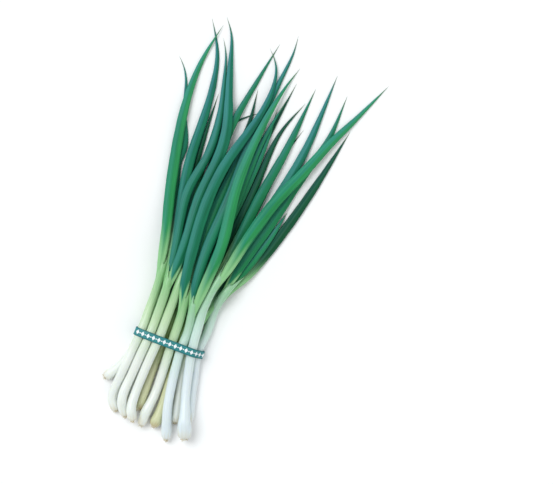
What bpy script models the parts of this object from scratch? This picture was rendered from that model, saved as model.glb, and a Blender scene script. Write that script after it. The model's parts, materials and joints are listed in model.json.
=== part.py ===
"""A bunch of twelve spring onions lying flat, held together by one printed rubber band.

Each onion is one white shank with its root end, and the green leaves that leave its neck. The
shanks and leaves are strands: rows of upright elliptical rings along a route drawn on the table.
The strands are laid one after another, each one resting on whatever already lies under it.
+Y runs from the roots to the leaf tips. The origin is the middle of the band's flat underside.
Everything below is in millimetres, and the meshes are written in metres.
"""

import math

import bmesh
import bpy
import numpy as np

MM = 0.001

# Overall sizes: both stretch the routes of every strand.
LENGTH_SCALE = 1.0
SPREAD_SCALE = 1.0

# Shanks
SHANK_HALF_WIDTH = 4.1
SHANK_HALF_HEIGHT = 3.9
ROUND_END = 1.3  # length of the rounding at the root end, over the bulb's half width
BULB_LENGTH = 34.0  # from the root end to where the swelling has gone
ROOT_PLATE_SHARE = 0.42  # of the bulb's half width
ROOT_BULGE = 0.8  # how far the root plate's middle stands out
END_BULGE = 0.4  # the same, at a neck's end and a leaf's base
NECK_TAPER = 30.0  # the length over which the neck thins out under its leaves
NECK_END_HALF_WIDTH = 2.6
NECK_END_HALF_HEIGHT = 1.0
ROW_PITCH = 2 * SHANK_HALF_WIDTH + 0.4

# Leaves
LEAF_FLATNESS = 0.36  # half height over half width
LEAF_START_SHARE = 0.5  # of the neck's taper, from the neck's end back to the leaf's base
LEAF_BASE_SHARE = 0.55  # width of the leaf where it leaves the neck, over its full width
LEAF_RISE = 30.0  # the length over which it reaches its full width
LEAF_BASE_OFFSET = 1.4  # sideways from the middle of the neck
LEAF_LEAVING_OFFSET = 2.8  # the same, at the neck's end
TIP_POWER = 3.4
TIP_ROUND = 0.8
POINTED = 0.05  # a ring narrower than this is a point

# Rubber band
BAND_WIDTH = 7.5
BAND_THICKNESS = 1.0
BAND_GAP = 0.4  # all round, to the shanks inside it
BAND_POINTS = 56
FLAT_WITHIN = 0.02  # the band's lowest points, this close to its flat underside, lie in it

SECTION_POINTS = 40  # round each shank that the band is stretched over

# Rings and their spacing
SHANK_SIDES = 10
LEAF_SIDES = 8
SHANK_RINGS = 16
NEAR_ROOT = (0.0, 0.008, 0.024, 0.05, 0.085)  # shares of the shank's length, for the rings of the round end
BEYOND_ROOT = 0.14  # and where its evenly spaced rings begin
LEAF_RINGS = 14
LEAF_RING_POWER = 0.92  # below 1, the rings stand closer together towards the tip

CURVE_STEPS = 24  # between two points of a route

# Laying one strand on another
CLEARANCE = 0.2  # each strand keeps this to what it rests on
CELL = 0.4  # of the height map
STEP = 1.0  # between the places where a strand is tested
STAMP_STEP = 0.35
STEEPEST = 0.3  # slope of a strand that climbs over another
SMOOTHINGS = 2  # passes that round off the kinks in a strand's heights
MOST_RAISINGS = 80  # passes that lift it clear again
RAISED_WITHIN = 1e-4
MAP_MARGIN = 15.0
BAND_STRIP = BAND_WIDTH / 2 + BAND_GAP + 0.6  # either side of the band's middle, kept free for it

# Colours and finishes
SHANK_ROUGHNESS, LEAF_ROUGHNESS, BAND_ROUGHNESS = 0.45, 0.4, 0.55
BAND_BLUE = (0.015, 0.30, 0.33)
SHANK_WHITE = (0.72, 0.78, 0.62)
LEAF_GREENS = {
    "blue": (0.035, 0.20, 0.13),
    "mid": (0.04, 0.24, 0.08),
    "bright": (0.07, 0.33, 0.10),
    "dark": (0.015, 0.09, 0.045),
}

# Each onion: its number, its place in the band in row pitches from the middle, its bulb's half
# width, the route of the shank from the root end to the band, the route of the neck beyond it,
# and its leaves. Each leaf: its layer, its side of the neck, half width, colour and route to
# the tip. The lowest layers are laid first.
LOWER_ROW = [
    ("01", -2.8, 5.2, [(-43, -50), (-35, -38), (-28, -18)], [(-22, 20), (-22, 38)], [
        (0, -1, 4.4, "blue", [(-36, 95), (-50, 150), (-61, 195), (-72, 230), (-85, 246)]),
        (1, 1, 4.4, "dark", [(-25, 85), (-34, 140), (-37, 185), (-39, 226)]),
    ]),
    ("02", -1.65, 4.8, [(-18, -66), (-16, -45), (-15, -22)], [(-14, 20), (-15, 38)], [
        (1, -1, 4.4, "mid", [(-22, 90), (-28, 140), (-30, 190), (-37, 234)]),
        (2, 1, 3.8, "dark", [(-14, 90), (-20, 145), (-23, 190), (-11, 212), (4, 224)]),
    ]),
    ("03", -0.5, 4.8, [(-4, -67), (-5, -50), (-5, -24)], [(-4, 20), (-5, 38)], [
        (1, -1, 4.4, "dark", [(-8, 90), (-13, 140), (-27, 205), (-41, 253)]),
        (0, 1, 4.8, "dark", [(4, 90), (11, 150), (17, 205), (24, 260)]),
    ]),
    ("04", 0.93, 5.4, [(14, -76), (15, -58), (12, -28)], [(9, 20), (8, 38)], [
        (2, -1, 4.6, "mid", [(9, 95), (15, 150), (18, 195), (16, 234)]),
        (1, 1, 4.8, "dark", [(17, 95), (22, 150), (25, 208), (38, 246)]),
    ]),
    ("05", 2.1, 4.8, [(31, -66), (27, -48), (21, -22)], [(19, 20), (20, 38)], [
        (2, -1, 3.8, "dark", [(25, 90), (31, 145), (36, 190), (45, 223)]),
        (1, 1, 4.8, "dark", [(32, 85), (43, 125), (52, 156)]),
    ]),
    ("06", 3.2, 4.8, [(42, -62), (38, -46), (33, -24)], [(29, 20), (28, 41), (31, 58), (35, 70)], [
        (6, -1, 5.2, "mid", [(39, 100), (48, 135), (57, 175), (69, 222), (71, 266)]),
        (4, 0, 4.8, "mid", [(43, 92), (52, 122), (58, 148)]),
        (3, 1, 5.0, "dark", [(47, 85), (62, 134), (74, 183), (85, 236)]),
    ]),
]
UPPER_ROW = [
    ("07", -3.1, 5.0, [(-23, -75), (-30, -62), (-29, -34)], [(-27, 24), (-27, 40), (-28, 55), (-30, 68)], [
        (9, -1, 5.4, "bright", [(-36, 88), (-46, 121), (-56, 164), (-63, 205), (-64, 246), (-57, 286)]),
        (3, 1, 4.6, "dark", [(-32, 100), (-40, 145), (-44, 182)]),
    ]),
    ("08", -2.1, 4.6, [(-13, -76), (-21, -60), (-20, -30)], [(-18, 20), (-18, 38), (-20, 58)], [
        (4, -1, 5.2, "blue", [(-27, 95), (-36, 130), (-42, 165), (-44, 215), (-52, 258), (-69, 288)]),
        (5, 0, 4.4, "blue", [(-26, 92), (-34, 134), (-27, 169), (-30, 207), (-46, 264), (-53, 275)]),
        (8, 1, 6.0, "blue", [(-17, 98), (-21, 130), (-17, 185), (-33, 238), (-48, 283), (-57, 294)]),
    ]),
    ("09", -1.07, 4.4, [(-5, -77), (-11, -61), (-11, -30)], [(-9, 16), (-9, 32), (-9, 50), (-11, 67)], [
        (4, -1, 4.8, "mid", [(-13, 110), (-17, 160), (-17, 205), (-9, 256), (-3, 288)]),
        (3, 1, 4.6, "dark", [(-5, 115), (-7, 165), (-3, 205), (-7, 243)]),
    ]),
    ("10", 0.35, 4.6, [(3, -79), (3, -68), (5, -44)], [(2, 16), (2, 31), (-1, 45)], [
        (10, -1, 5.6, "blue", [(-9, 84), (-13, 125), (-10, 168), (4, 222), (4, 261), (-10, 281)]),
        (5, 1, 5.2, "mid", [(-3, 84), (-4, 125), (-2, 160), (2, 200), (3, 232)]),
    ]),
    ("11", 1.45, 4.8, [(29, -83), (20, -54), (15, -26)], [(13, 14), (11, 30), (9, 44)], [
        (7, -1, 5.4, "blue", [(2, 90), (5, 140), (4, 190), (8, 245), (12, 290), (10, 301)]),
        (4, 0, 4.6, "mid", [(11, 95), (12, 150), (14, 200), (21, 243)]),
        (11, 1, 5.6, "bright", [(14, 82), (14, 104), (7, 150), (8, 200), (14, 245), (22, 274)]),
    ]),
    ("12", 2.6, 7.0, [(44, -76), (38, -58), (30, -34)], [(21, 15), (19, 35), (18, 50), (22, 67), (25, 77)], [
        (6, -1, 5.2, "mid", [(26, 112), (31, 160), (37, 200), (42, 262)]),
        (7, 0, 5.2, "blue", [(36, 118), (46, 162), (53, 205), (55, 243), (56, 280)]),
        (12, 1, 5.6, "bright", [(31, 104), (46, 158), (57, 181), (71, 218), (84, 245), (103, 288)]),
    ]),
]


class Strand:
    """A row of upright elliptical rings along a route."""

    def __init__(self, centres, half_widths, half_heights):
        self.centres = centres
        self.half_widths = half_widths
        self.half_heights = half_heights
        ahead = np.gradient(centres, axis=0)
        ahead /= np.linalg.norm(ahead, axis=1)[:, None]
        self.across = np.column_stack([ahead[:, 1], -ahead[:, 0]])
        self.heights = np.zeros(len(centres))

    def stations(self, step):
        """Places between the rings: the earlier ring of each, and the share of the way on."""
        lengths = np.linalg.norm(np.diff(self.centres, axis=0), axis=1)
        rings, shares = [], []
        for ring, length in enumerate(lengths):
            count = max(2, math.ceil(length / step))
            rings += [ring] * count
            shares += [k / count for k in range(count)]
        rings.append(len(lengths) - 1)
        shares.append(1.0)
        return np.array(rings), np.array(shares)

    def between(self, values, rings, shares):
        shares = shares if values.ndim == 1 else shares[:, None]
        return values[rings] * (1 - shares) + values[rings + 1] * shares

    def footprint(self, rings, shares, step):
        """Points under the strand at each station, and how far the strand reaches above its middle there."""
        middle = self.between(self.centres, rings, shares)
        across = self.between(self.across, rings, shares)
        across /= np.linalg.norm(across, axis=1)[:, None]
        wide = self.between(self.half_widths, rings, shares) + CLEARANCE
        high = self.between(self.half_heights, rings, shares) + CLEARANCE
        samples = 2 * math.ceil(wide.max() / step) + 1
        sideways = np.linspace(-1, 1, samples)
        points = middle[:, None, :] + across[:, None, :] * (wide[:, None] * sideways)[:, :, None]
        reach = high[:, None] * np.sqrt(np.clip(1 - sideways**2, 0, 1))[None, :]
        return points, reach


class Table:
    """A height map of everything that has been laid so far."""

    def __init__(self, low, high):
        self.low = low - MAP_MARGIN
        cells = np.ceil((high - low + 2 * MAP_MARGIN) / CELL).astype(int)
        self.top = np.full(cells, -CLEARANCE)
        rows = self.low[1] + CELL * np.arange(cells[1])
        self.top[:, np.abs(rows) <= BAND_STRIP] = BAND_THICKNESS + BAND_GAP - CLEARANCE

    def cells(self, points):
        index = np.rint((points - self.low) / CELL).astype(int)
        return index[..., 0], index[..., 1]

    def lay(self, strand):
        rings, shares = strand.stations(STEP)
        points, reach = strand.footprint(rings, shares, CELL)
        floor = (self.top[self.cells(points)] + reach).max(axis=1)
        strand.heights = rest_on(strand, floor, rings, shares)
        self.stamp(strand)

    def stamp(self, strand):
        rings, shares = strand.stations(STAMP_STEP)
        points, reach = strand.footprint(rings, shares, STAMP_STEP)
        tops = strand.between(strand.heights, rings, shares)[:, None] + reach
        np.maximum.at(self.top, self.cells(points), tops)


def rest_on(strand, floor, rings, shares):
    """The ring heights of a stiff strand that lies on the floor given at its stations."""
    middle = strand.between(strand.centres, rings, shares)
    along = np.concatenate([[0], np.cumsum(np.linalg.norm(np.diff(middle, axis=0), axis=1))])
    held = (floor[None, :] - STEEPEST * np.abs(along[:, None] - along[None, :])).max(axis=1)
    at_ring = np.append(np.flatnonzero(shares == 0), len(shares) - 1)
    heights = held[at_ring]
    for _ in range(SMOOTHINGS):
        heights[1:-1] = heights[1:-1] / 2 + (heights[:-2] + heights[2:]) / 4
    for _ in range(MOST_RAISINGS):
        short = floor - strand.between(heights, rings, shares)
        if short.max() < RAISED_WITHIN:
            break
        pull = np.clip(short, 0, None) / ((1 - shares) ** 2 + shares**2)
        raised = np.zeros_like(heights)
        np.maximum.at(raised, rings, pull * (1 - shares))
        np.maximum.at(raised, rings + 1, pull * shares)
        heights = heights + raised
    return heights + max(0.0, (floor - strand.between(heights, rings, shares)).max())


def smooth_route(points, shares):
    """Points along a smooth curve through the route, at the given shares of its length, and how far along they are."""
    points = np.array(points, float)
    ends = np.vstack([2 * points[0] - points[1], points, 2 * points[-1] - points[-2]])
    curve = []
    for a, b, c, d in zip(ends, ends[1:], ends[2:], ends[3:]):
        for t in np.linspace(0, 1, CURVE_STEPS, endpoint=False):
            curve.append(
                0.5 * (2 * b + (c - a) * t + (2 * a - 5 * b + 4 * c - d) * t**2 + (3 * b - a - 3 * c + d) * t**3)
            )
    curve = np.array(curve + [points[-1]])
    along = np.concatenate([[0], np.cumsum(np.linalg.norm(np.diff(curve, axis=0), axis=1))])
    wanted = shares * along[-1]
    return np.column_stack([np.interp(wanted, along, curve[:, k]) for k in (0, 1)]), wanted


def stretched(points):
    return [(x * SPREAD_SCALE, y * LENGTH_SCALE) for x, y in points]


def shank_strand(slot, bulb, root_route, neck_route):
    route = stretched(root_route) + [(slot * ROW_PITCH, 0.0)] + stretched(neck_route)
    shares = np.concatenate([NEAR_ROOT, np.linspace(BEYOND_ROOT, 1, SHANK_RINGS - len(NEAR_ROOT))])
    centres, along = smooth_route(route, shares)
    swelling = np.clip(1 - along / BULB_LENGTH, 0, 1)
    swelling = swelling**2 * (3 - 2 * swelling)
    rounding = np.clip(along / (ROUND_END * bulb), 0, 1)
    round_end = ROOT_PLATE_SHARE + (1 - ROOT_PLATE_SHARE) * np.sqrt(rounding * (2 - rounding))
    thinning = np.clip((along - along[-1] + NECK_TAPER) / NECK_TAPER, 0, 1)
    thinning = thinning**2 * (3 - 2 * thinning)
    wide = SHANK_HALF_WIDTH + (bulb - SHANK_HALF_WIDTH) * swelling
    high = SHANK_HALF_HEIGHT + (bulb * SHANK_HALF_HEIGHT / SHANK_HALF_WIDTH - SHANK_HALF_HEIGHT) * swelling
    wide = (wide + (NECK_END_HALF_WIDTH - wide) * thinning) * round_end
    high = (high + (NECK_END_HALF_HEIGHT - high) * thinning) * round_end
    return Strand(centres, wide, high)


def leaf_strand(shank, side, half_width, route):
    """A leaf that starts on the neck of its shank, on the given side of the middle."""
    back = np.linalg.norm(shank.centres - shank.centres[-1], axis=1)
    start = int(np.argmin(np.abs(back - NECK_TAPER * LEAF_START_SHARE)))
    base = shank.centres[start] + shank.across[start] * side * LEAF_BASE_OFFSET
    leaving = shank.centres[-1] + shank.across[-1] * side * LEAF_LEAVING_OFFSET
    shares = np.linspace(0, 1, LEAF_RINGS) ** LEAF_RING_POWER
    centres, along = smooth_route([base, leaving] + stretched(route), shares)
    rise = np.clip(along / LEAF_RISE, 0, 1)
    rise = LEAF_BASE_SHARE + (1 - LEAF_BASE_SHARE) * rise * (2 - rise)
    tip = np.clip(1 - (along / along[-1]) ** TIP_POWER, 0, 1) ** TIP_ROUND
    wide = half_width * rise * tip
    return Strand(centres, wide, wide * LEAF_FLATNESS)


def strand_mesh(name, strand, sides, near_bulge=END_BULGE):
    """One closed skin over the rings, which ends in a point where its last ring has no width."""
    shape = bmesh.new()
    angles = np.arange(sides) * 2 * math.pi / sides
    rings = []
    for centre, across, wide, high, height in zip(
        strand.centres, strand.across, strand.half_widths, strand.half_heights, strand.heights
    ):
        ring = []
        for angle in angles:
            x, y = centre + across * wide * math.cos(angle)
            ring.append(shape.verts.new((x * MM, y * MM, (height + high * math.sin(angle)) * MM)))
        rings.append(ring)
    first = bulged(rings[0], rings[1], near_bulge)
    last = bulged(rings[-1], rings[-2], END_BULGE)
    if strand.half_widths[-1] < POINTED:
        last = middle_of(rings[-1])
        for vertex in rings.pop():
            shape.verts.remove(vertex)
    for near, far in zip(rings, rings[1:]):
        for k in range(sides):
            nxt = (k + 1) % sides
            shape.faces.new((near[k], near[nxt], far[nxt], far[k]))
    close_end(shape, rings[0], first)
    close_end(shape, rings[-1], last)
    bmesh.ops.recalc_face_normals(shape, faces=shape.faces)
    mesh = bpy.data.meshes.new(name)
    shape.to_mesh(mesh)
    shape.free()
    return mesh


def middle_of(ring):
    return tuple(sum(vertex.co[k] for vertex in ring) / len(ring) for k in range(3))


def bulged(ring, inner_ring, bulge):
    """The middle of an end ring, moved outwards, away from the ring inside it."""
    middle = np.array(middle_of(ring))
    outward = middle - np.array(middle_of(inner_ring))
    return tuple(middle + outward / np.linalg.norm(outward) * bulge * MM)


def close_end(shape, ring, point):
    end = shape.verts.new(point)
    for k in range(len(ring)):
        shape.faces.new((ring[k], ring[(k + 1) % len(ring)], end))


def convex_hull(points):
    """The corners of the convex hull, anticlockwise."""
    points = sorted(map(tuple, points))
    halves = []
    for run in (points, points[::-1]):
        half = []
        for p in run:
            while len(half) > 1 and turn(half[-2], half[-1], p) <= 0:
                half.pop()
            half.append(p)
        halves.append(half[:-1])
    return np.array(halves[0] + halves[1])


def turn(a, b, c):
    return (b[0] - a[0]) * (c[1] - a[1]) - (b[1] - a[1]) * (c[0] - a[0])


def band_outline(shanks):
    """The band's inner loop in the XZ plane: it is stretched over the shanks and flat underneath."""
    around = np.linspace(0, 2 * math.pi, SECTION_POINTS, endpoint=False)
    section = []
    for shank in shanks:
        rings, shares = shank.stations(STEP)
        middle = shank.between(shank.centres, rings, shares)
        inside = np.abs(middle[:, 1]) <= BAND_STRIP
        wide = shank.between(shank.half_widths, rings, shares)[inside] + BAND_GAP
        high = shank.between(shank.half_heights, rings, shares)[inside] + BAND_GAP
        height = shank.between(shank.heights, rings, shares)[inside]
        xs = middle[inside, 0][:, None] + wide[:, None] * np.cos(around)
        zs = height[:, None] + high[:, None] * np.sin(around)
        section.append(np.column_stack([xs.ravel(), zs.ravel()]))
    section = np.vstack(section)
    section[:, 1] = np.maximum(section[:, 1], BAND_THICKNESS)
    return convex_hull(section)


def evenly_round(loop, count):
    """Points evenly spaced along the closed loop."""
    closed = np.vstack([loop, loop[:1]])
    along = np.concatenate([[0], np.cumsum(np.linalg.norm(np.diff(closed, axis=0), axis=1))])
    wanted = np.linspace(0, along[-1], count, endpoint=False)
    return np.column_stack([np.interp(wanted, along, closed[:, k]) for k in (0, 1)])


def band_mesh(name, shanks):
    inner = evenly_round(band_outline(shanks), BAND_POINTS)
    ahead = np.roll(inner, -1, axis=0) - np.roll(inner, 1, axis=0)
    ahead /= np.linalg.norm(ahead, axis=1)[:, None]
    outward = np.column_stack([ahead[:, 1], -ahead[:, 0]])
    outer = inner + outward * BAND_THICKNESS
    outer[:, 1] = np.maximum(outer[:, 1], 0.0)
    outer[inner[:, 1] < BAND_THICKNESS + FLAT_WITHIN, 1] = 0.0
    shape = bmesh.new()
    half = BAND_WIDTH / 2
    corners = []
    for (xi, zi), (xo, zo) in zip(inner, outer):
        section = ((xi, -half, zi), (xi, half, zi), (xo, half, zo), (xo, -half, zo))
        corners.append([shape.verts.new((x * MM, y * MM, z * MM)) for x, y, z in section])
    for near, far in zip(corners, corners[1:] + corners[:1]):
        for k in range(4):
            nxt = (k + 1) % 4
            shape.faces.new((near[k], near[nxt], far[nxt], far[k]))
    bmesh.ops.recalc_face_normals(shape, faces=shape.faces)
    mesh = bpy.data.meshes.new(name)
    shape.to_mesh(mesh)
    shape.free()
    return mesh


def material(name, colour, roughness, metallic=0.0):
    made = bpy.data.materials.new(name)
    made.use_nodes = True
    shader = made.node_tree.nodes["Principled BSDF"]
    shader.inputs["Base Color"].default_value = (*colour, 1.0)
    shader.inputs["Roughness"].default_value = roughness
    shader.inputs["Metallic"].default_value = metallic
    return made


def add_object(name, mesh, colour, roughness, parent):
    made = bpy.data.objects.new(name, mesh)
    made.data.materials.append(material(name, colour, roughness))
    made.data.shade_smooth()
    made.parent = parent
    bpy.context.scene.collection.objects.link(made)
    return made


def map_corners():
    """The lowest and highest x and y of every route."""
    points = []
    for _, slot, _, root_route, neck_route, leaves in LOWER_ROW + UPPER_ROW:
        points += stretched(root_route) + stretched(neck_route) + [(slot * ROW_PITCH, 0)]
        for leaf in leaves:
            points += stretched(leaf[-1])
    return np.min(points, axis=0), np.max(points, axis=0)


def lay_row(table, row, parent):
    """Lays one row's shanks, then its leaves from the lowest layer up."""
    shanks, leaves = [], []
    for number, slot, bulb, root_route, neck_route, onion_leaves in row:
        shank = shank_strand(slot, bulb, root_route, neck_route)
        table.lay(shank)
        shanks.append(shank)
        name = f"shank_{number}"
        mesh = strand_mesh(name, shank, SHANK_SIDES, ROOT_BULGE)
        add_object(name, mesh, SHANK_WHITE, SHANK_ROUGHNESS, parent)
        for letter, (layer, side, half_width, green, route) in zip("abc", onion_leaves):
            leaves.append((layer, f"leaf_{number}{letter}", shank, side, half_width, green, route))
    for _, name, shank, side, half_width, green, route in sorted(leaves, key=lambda leaf: leaf[:2]):
        leaf = leaf_strand(shank, side, half_width, route)
        table.lay(leaf)
        add_object(name, strand_mesh(name, leaf, LEAF_SIDES), LEAF_GREENS[green], LEAF_ROUGHNESS, parent)
    return shanks


def main():
    for old in list(bpy.data.objects):
        bpy.data.objects.remove(old, do_unlink=True)
    parent = bpy.data.objects.new("spring_onion_bunch", None)
    bpy.context.scene.collection.objects.link(parent)
    table = Table(*map_corners())
    shanks = lay_row(table, LOWER_ROW, parent)
    shanks += lay_row(table, UPPER_ROW, parent)
    add_object("rubber_band", band_mesh("rubber_band", shanks), BAND_BLUE, BAND_ROUGHNESS, parent)
    bpy.context.view_layer.update()


main()
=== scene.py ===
"""A bunch of spring onions, tied with a rubber band and laid flat."""

import json
import math
import random

import bmesh
import bpy
import numpy as np
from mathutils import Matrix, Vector


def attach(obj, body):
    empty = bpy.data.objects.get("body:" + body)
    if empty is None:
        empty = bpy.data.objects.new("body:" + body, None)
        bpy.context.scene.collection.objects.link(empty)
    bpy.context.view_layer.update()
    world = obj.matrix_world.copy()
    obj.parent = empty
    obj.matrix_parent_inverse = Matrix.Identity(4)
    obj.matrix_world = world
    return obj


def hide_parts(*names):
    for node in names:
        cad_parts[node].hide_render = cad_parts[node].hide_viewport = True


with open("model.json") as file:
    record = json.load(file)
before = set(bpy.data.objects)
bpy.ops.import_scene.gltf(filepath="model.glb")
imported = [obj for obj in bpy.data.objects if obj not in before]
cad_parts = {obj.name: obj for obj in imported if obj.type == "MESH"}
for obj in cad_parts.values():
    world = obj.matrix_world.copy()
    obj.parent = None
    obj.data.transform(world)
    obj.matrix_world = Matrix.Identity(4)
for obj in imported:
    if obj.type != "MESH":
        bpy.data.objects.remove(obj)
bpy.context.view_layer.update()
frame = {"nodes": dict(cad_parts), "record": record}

MM = 0.001
NODES = frame["nodes"]
SLOT_OF = {part["node"]: part["material_slot"] for part in frame["record"]["subparts"]}
BODY = "root"

# The CAD strands are skins over rings of this many corners
SHANK_CORNERS = 10
LEAF_CORNERS = 8

# The skins, with their rings along a strand and points round it
SHANK_STATIONS, SHANK_AROUND = 150, 48
LEAF_STATIONS, LEAF_AROUND = 130, 36
SHANK_CROWDING, LEAF_CROWDING = 1.5, 0.8  # rings closer together at a shank's start and at a leaf's end
SHANK_EASING, LEAF_EASING = 4, 60  # passes that ease a strand's bends
EASED_UP_TO = 0.65  # from this share of the length on, the easing weakens towards the tip
FINEST = 0.12 * MM  # half width of a strand's closed end

# The neck, where the leaves come out of the shank
NECK_BACK = 34 * MM  # the shank leaves its CAD shape this far before its end
NECK_BEYOND = 24 * MM  # the sheath runs on this far past the leaf bases
NECK_HALF_WIDTH, NECK_HALF_HEIGHT = 3.9 * MM, 3.3 * MM
LIP_HALF_WIDTH, LIP_HALF_HEIGHT = 3.4 * MM, 1.5 * MM
LEAF_COVER = 1.5 * MM  # the neck stands at least this much past its stack of leaf bases
LIP_THICKNESS = 0.35 * MM
LIP_STATIONS = 8
LIP_INSIDE = 7 * MM  # how far the sheath's inner side runs back from its lip
OPENING_LENGTH = 15 * MM  # depth of the V where the inner leaves come out
OPENING_TURN = 0.3  # how far, in radians, a V may face away from straight up
OPENING_SPAN = 0.42  # how wide round the neck the V is
OPENING_LATE = 5.0  # a higher power keeps the skin before the V where it is

# A leaf inside its neck: how far back two of its rings lie, and their half widths and half heights
HIDDEN_BACK = np.array([30.0, 15.0]) * MM
HIDDEN_SIZES = np.array([[2.5, 1.1], [3.0, 1.3]]) * MM
HIDDEN_SPREAD = np.array([0.5, 0.9]) * MM  # how far the outermost leaves lie from the stack's middle
BASE_AT_LEAST = np.array([3.5, 1.5]) * MM  # half width and half height where a leaf's CAD shape starts

# A leaf's width along it, as shares of the CAD leaf's
WHOLE_WIDTH = 0.93
BASE_WIDTH = 0.74
FULL_FROM, FULL_AFTER = 34 * MM, 80 * MM  # it widens from here on, over this length
LATE_NARROWING, TIP_NARROWING = 0.16, 0.55  # what its second half loses evenly, and what its tip loses

# The skins' uneven surface, as shares of their size
WAVES_PER_METRE = 45.0  # how fast a strand swells and thins along its length
CHANNEL_SPAN = 0.12  # how wide round the leaf its channel is
CHANNEL_TURN = 0.7  # how far, in radians, a channel may face away from straight up
SHANK_SURFACE = {"Ribs": 9.0, "Rib Depth": 0.012, "Unevenness": 0.10}
LEAF_SURFACE = {"Ribs": 5.0, "Rib Depth": 0.045, "Channel Depth": 0.22, "Unevenness": 0.14}

# How far from a leaf's hidden start its green begins and is full: an inner leaf leaves its neck green
INNER_GREENING = 31 * MM, 41 * MM
OUTER_GREENING = 32 * MM, 74 * MM
GREENING_POINT = 15 * MM  # the green starts this much later at a leaf's edges, so it comes to a point
TIP_BLOOM = 1.4, 1.05, 1.38  # a leaf grows bluer towards its tip


# ---------------------------------------------------------------- reading the CAD strands


def layers_from(end):
    """The strand's corners in layers, going away from the corner at its end."""
    seen, layer, layers = {end}, [end], []
    while layer:
        layers.append(layer)
        beyond = []
        for corner in layer:
            for edge in corner.link_edges:
                other = edge.other_vert(corner)
                if other not in seen:
                    seen.add(other)
                    beyond.append(other)
        layer = beyond
    return layers


def ring_of(layer):
    """Middle, half width and half height of one ring of corners."""
    points = np.array([corner.co[:] for corner in layer])
    middle = points.mean(axis=0)
    spread = points - middle
    wide = np.linalg.eigvalsh(spread[:, :2].T @ spread[:, :2] / len(points))[-1]
    return [*middle, math.sqrt(2 * wide), math.sqrt(2 * (spread[:, 2] ** 2).mean())]


def rings_of(name, corners):
    """Rows of middle, half width and half height, from the root end to the other one."""
    node = NODES[name]
    shape = bmesh.new()
    shape.from_mesh(node.data)
    shape.transform(node.matrix_world)
    bmesh.ops.remove_doubles(shape, verts=shape.verts, dist=1e-6)
    ends = [corner for corner in shape.verts if len(corner.link_edges) == corners]
    root = min(ends, key=lambda corner: corner.co.y)
    tip = max(ends, key=lambda corner: (corner.co - root.co).length)
    taken, halves = set(), []
    for end in (root, tip):
        rings = []
        for layer in layers_from(end)[1:]:
            if len(layer) != corners or taken & set(layer):
                break
            taken |= set(layer)
            rings.append(ring_of(layer))
        halves.append([[*end.co, FINEST, FINEST]] + rings)
    shape.free()
    return np.array(halves[0] + halves[1][::-1])


def lengths_along(rows):
    return np.concatenate([[0], np.cumsum(np.linalg.norm(np.diff(rows[:, :3], axis=0), axis=1))])


def smoothly(at, rows, wanted):
    """Values between the rows, without a kink at a row and without an overshoot."""
    gaps = np.diff(at)[:, None]
    slopes = np.diff(rows, axis=0) / gaps
    turns = slopes[:-1] * slopes[1:] > 0
    both = slopes[:-1] + slopes[1:]
    inner = np.where(turns, 2 * slopes[:-1] * slopes[1:] / np.where(turns, both, 1), 0)
    rates = np.vstack([slopes[:1], inner, slopes[-1:]])
    k = np.clip(np.searchsorted(at, wanted) - 1, 0, len(at) - 2)
    gap = np.diff(at)[k][:, None]
    t = ((wanted - at[k]) / np.diff(at)[k])[:, None]
    return (
        (2 * t**3 - 3 * t**2 + 1) * rows[k]
        + (t**3 - 2 * t**2 + t) * gap * rates[k]
        + (3 * t**2 - 2 * t**3) * rows[k + 1]
        + (t**3 - t**2) * gap * rates[k + 1]
    )


def bent_through(at, points, wanted):
    """Places on the smoothest curve through the points, as a thin rod would take it."""
    gaps = np.diff(at)
    slopes = np.diff(points, axis=0) / gaps[:, None]
    count = len(at)
    system = np.eye(count)
    pull = np.zeros((count, points.shape[1]))
    for i in range(1, count - 1):
        system[i, i - 1 : i + 2] = gaps[i - 1], 2 * (gaps[i - 1] + gaps[i]), gaps[i]
        pull[i] = 6 * (slopes[i] - slopes[i - 1])
    bend = np.linalg.solve(system, pull)
    k = np.clip(np.searchsorted(at, wanted) - 1, 0, count - 2)
    gap = gaps[k][:, None]
    far, near = (at[k + 1] - wanted)[:, None], (wanted - at[k])[:, None]
    return (
        bend[k] * far**3 / (6 * gap)
        + bend[k + 1] * near**3 / (6 * gap)
        + (points[k] / gap - bend[k] * gap / 6) * far
        + (points[k + 1] / gap - bend[k + 1] * gap / 6) * near
    )


# ---------------------------------------------------------------- node trees


class Tree:
    """A short way to write a node tree."""

    def __init__(self, tree):
        self.tree = tree

    def add(self, kind, **settings):
        node = self.tree.nodes.new(kind)
        for name, value in settings.items():
            setattr(node, name, value)
        return node

    def feed(self, socket, value):
        if isinstance(value, bpy.types.NodeSocket):
            self.tree.links.new(value, socket)
        else:
            socket.default_value = value

    def math(self, operation, *values):
        node = self.add("ShaderNodeMath", operation=operation)
        for socket, value in zip(node.inputs, values):
            self.feed(socket, value)
        return node.outputs[0]

    def vector(self, operation, *values):
        node = self.add("ShaderNodeVectorMath", operation=operation)
        for socket, value in zip(node.inputs, values):
            self.feed(socket, value)
        return node.outputs[0]

    def scaled(self, vector, factor):
        node = self.add("ShaderNodeVectorMath", operation="SCALE")
        self.feed(node.inputs[0], vector)
        self.feed(node.inputs["Scale"], factor)
        return node.outputs[0]

    def combine(self, x, y, z):
        node = self.add("ShaderNodeCombineXYZ")
        for socket, value in zip(node.inputs, (x, y, z)):
            self.feed(socket, value)
        return node.outputs[0]

    def swing(self, noise, amount):
        """A noise from 0 to 1 turned to one that goes half the amount to either side of 0."""
        return self.math("MULTIPLY", self.math("SUBTRACT", noise, 0.5), amount)

    def ramp(self, value, low, high, to_low=0.0, to_high=1.0):
        """The value turned from one range to another, smoothly and without going past its ends."""
        node = self.add("ShaderNodeMapRange", interpolation_type="SMOOTHSTEP")
        for socket, number in zip(node.inputs, (value, low, high, to_low, to_high)):
            self.feed(socket, number)
        return node.outputs[0]


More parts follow.
